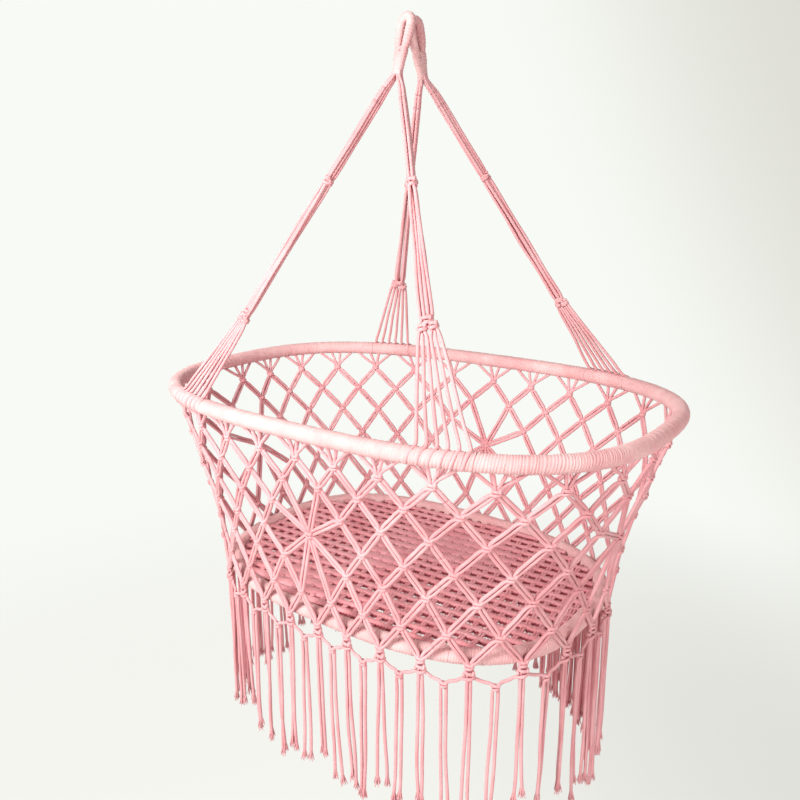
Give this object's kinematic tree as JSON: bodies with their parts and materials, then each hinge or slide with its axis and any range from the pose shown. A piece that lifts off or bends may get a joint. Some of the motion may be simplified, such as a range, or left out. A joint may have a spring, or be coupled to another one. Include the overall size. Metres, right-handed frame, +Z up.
{
  "type": "hanging baby cradle",
  "caption": "Hanging baby cradle: an open basket of knotted cotton cord between two wrapped oval hoops, with a floor net, a fringe and rope bundles to two rope eyes.",
  "frame": {"origin": "the point where a hook carries the two rope eyes, at the height of the inside of their tops and midway between them", "axes": "+Z up along the pull of the hook, +X along the cradle's long side, +Y across it, away from the side that the picture shows nearest"},
  "size_m": [0.9262, 0.6306, 1.2753],
  "materials": {
    "suspension_rope": "soft matte cotton rope",
    "net_cord": "soft matte cotton cord",
    "wound_cord": "matte cotton cord in close turns",
    "floor_cord": "matte cotton cord, knotted close",
    "fringe_cord": "soft matte cotton, brushed ends",
    "hoop_rod": "bare bent rod, hidden under the cord, so its material is guessed"
  },
  "bodies": {
    "hanger": {"rope_eye_near": "suspension_rope", "rope_eye_far": "suspension_rope", "neck_winding_near": "wound_cord", "neck_winding_far": "wound_cord"},
    "rope_tops": {"rope_top_far_right": "suspension_rope", "rope_top_far_left": "suspension_rope", "rope_top_near_left": "suspension_rope", "rope_top_near_right": "suspension_rope"},
    "upper_suspension": {"upper_ropes_far_right": "suspension_rope", "upper_ropes_far_left": "suspension_rope", "upper_ropes_near_left": "suspension_rope", "upper_ropes_near_right": "suspension_rope", "mid_knot_far_right": "suspension_rope", "mid_knot_far_left": "suspension_rope", "mid_knot_near_left": "suspension_rope", "mid_knot_near_right": "suspension_rope"},
    "cradle": {"lower_ropes_far_right": "suspension_rope", "lower_ropes_far_left": "suspension_rope", "lower_ropes_near_left": "suspension_rope", "lower_ropes_near_right": "suspension_rope", "low_knot_far_right": "suspension_rope", "low_knot_far_left": "suspension_rope", "low_knot_near_left": "suspension_rope", "low_knot_near_right": "suspension_rope", "rope_fan_far_right": "suspension_rope", "rope_fan_far_left": "suspension_rope", "rope_fan_near_left": "suspension_rope", "rope_fan_near_right": "suspension_rope", "rope_hitch_far_right": "wound_cord", "rope_hitch_far_left": "wound_cord", "rope_hitch_near_left": "wound_cord", "rope_hitch_near_right": "wound_cord", "top_hoop_rod": "hoop_rod", "top_hoop_wrap_far": "wound_cord", "top_hoop_wrap_left": "wound_cord", "top_hoop_wrap_near": "wound_cord", "top_hoop_wrap_right": "wound_cord", "bottom_hoop_rod": "hoop_rod", "bottom_hoop_wrap_right": "wound_cord", "bottom_hoop_wrap_far": "wound_cord", "bottom_hoop_wrap_left": "wound_cord", "bottom_hoop_wrap_near": "wound_cord", "side_net_right": "net_cord", "side_net_far": "net_cord", "side_net_left": "net_cord", "side_net_near": "net_cord", "floor_net": "floor_cord", "fringe_right": "fringe_cord", "fringe_far": "fringe_cord", "fringe_left": "fringe_cord", "fringe_near": "fringe_cord"}
  },
  "joints": [
    {"name": "swing_lengthwise", "type": "hinge", "parent": "hanger", "child": "rope_tops", "pos_m": [0, 0, -0.08], "axis": [0, 1, 0], "range_deg": [-15, 15], "deforming": ["rope_top_far_right", "rope_top_far_left", "rope_top_near_left", "rope_top_near_right"]},
    {"name": "rock_sideways", "type": "hinge", "parent": "rope_tops", "child": "upper_suspension", "pos_m": [0, 0, -0.08], "axis": [1, 0, 0], "range_deg": [-12, 12], "deforming": ["rope_top_far_right", "rope_top_far_left", "rope_top_near_left", "rope_top_near_right"]},
    {"name": "turn", "type": "hinge", "parent": "upper_suspension", "child": "cradle", "pos_m": [0, 0, -0.245], "axis": [0, 0, 1], "range_deg": [-25, 25], "deforming": ["lower_ropes_far_right", "lower_ropes_far_left", "lower_ropes_near_left", "lower_ropes_near_right"]}
  ]
}
